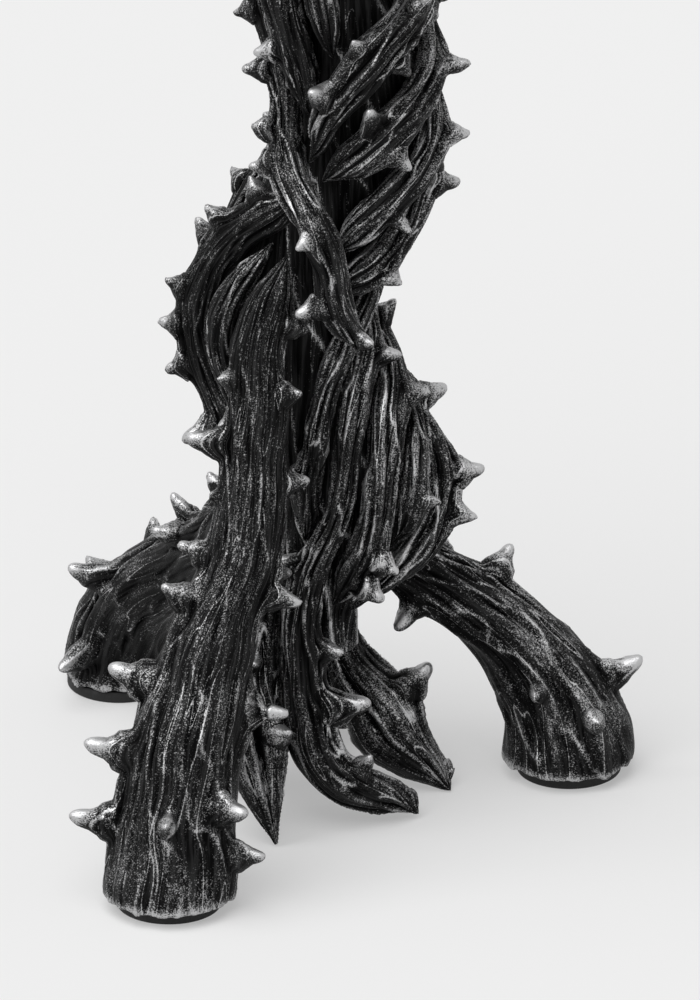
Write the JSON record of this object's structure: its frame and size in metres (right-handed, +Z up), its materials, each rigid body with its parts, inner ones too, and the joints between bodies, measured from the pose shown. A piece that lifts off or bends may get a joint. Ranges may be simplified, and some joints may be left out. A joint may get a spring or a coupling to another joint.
{
  "type": "pricket candle stand",
  "caption": "Candle stand of braided thorny vines on tripod root feet, with a lift-off drip pan and a pricket spike for a pillar candle.",
  "frame": {"origin": "on the floor under the middle of the stand's bounding box", "axes": "+Z up along the spike, -Y towards the viewer of the picture, +X to the viewer's right"},
  "size_m": [0.1058, 0.1188, 0.2645],
  "materials": {
    "bark_resin": "satin black cast resin, dry-brushed with silver on ridges and thorn tips",
    "core_resin": "smooth satin black cast resin",
    "pad_rubber": "matte black rubber",
    "fastener_steel": "zinc-plated steel",
    "dark_iron": "satin black paint, rubbed silver at the edges",
    "spike_steel": "blackened steel"
  },
  "bodies": {
    "stand": {"front_leg": "bark_resin", "right_leg": "bark_resin", "left_leg": "bark_resin", "lobe_vine_1": "bark_resin", "lobe_vine_2": "bark_resin", "lobe_vine_3": "bark_resin", "lobe_vine_4": "bark_resin", "lobe_vine_5": "bark_resin", "upper_vine_1": "bark_resin", "upper_vine_2": "bark_resin", "upper_vine_3": "bark_resin", "upper_vine_4": "bark_resin", "upper_vine_5": "bark_resin", "top_vine_1": "bark_resin", "top_vine_2": "bark_resin", "cross_vine": "bark_resin", "inner_vine": "bark_resin", "right_root": "bark_resin", "front_root": "bark_resin", "back_root": "bark_resin", "left_root": "bark_resin", "trunk_core": "core_resin", "front_pad": "pad_rubber", "right_pad": "pad_rubber", "left_pad": "pad_rubber", "tie_rod": "fastener_steel", "rod_washer": "fastener_steel", "rod_nut": "fastener_steel", "pan_collar": "dark_iron", "pricket_spike": "spike_steel"},
    "pan": {"drip_pan": "dark_iron"}
  },
  "joints": [
    {"name": "pan_lift", "type": "slide", "parent": "stand", "child": "pan", "axis": [0, 0, 1], "range_m": [0, 0.06]}
  ]
}
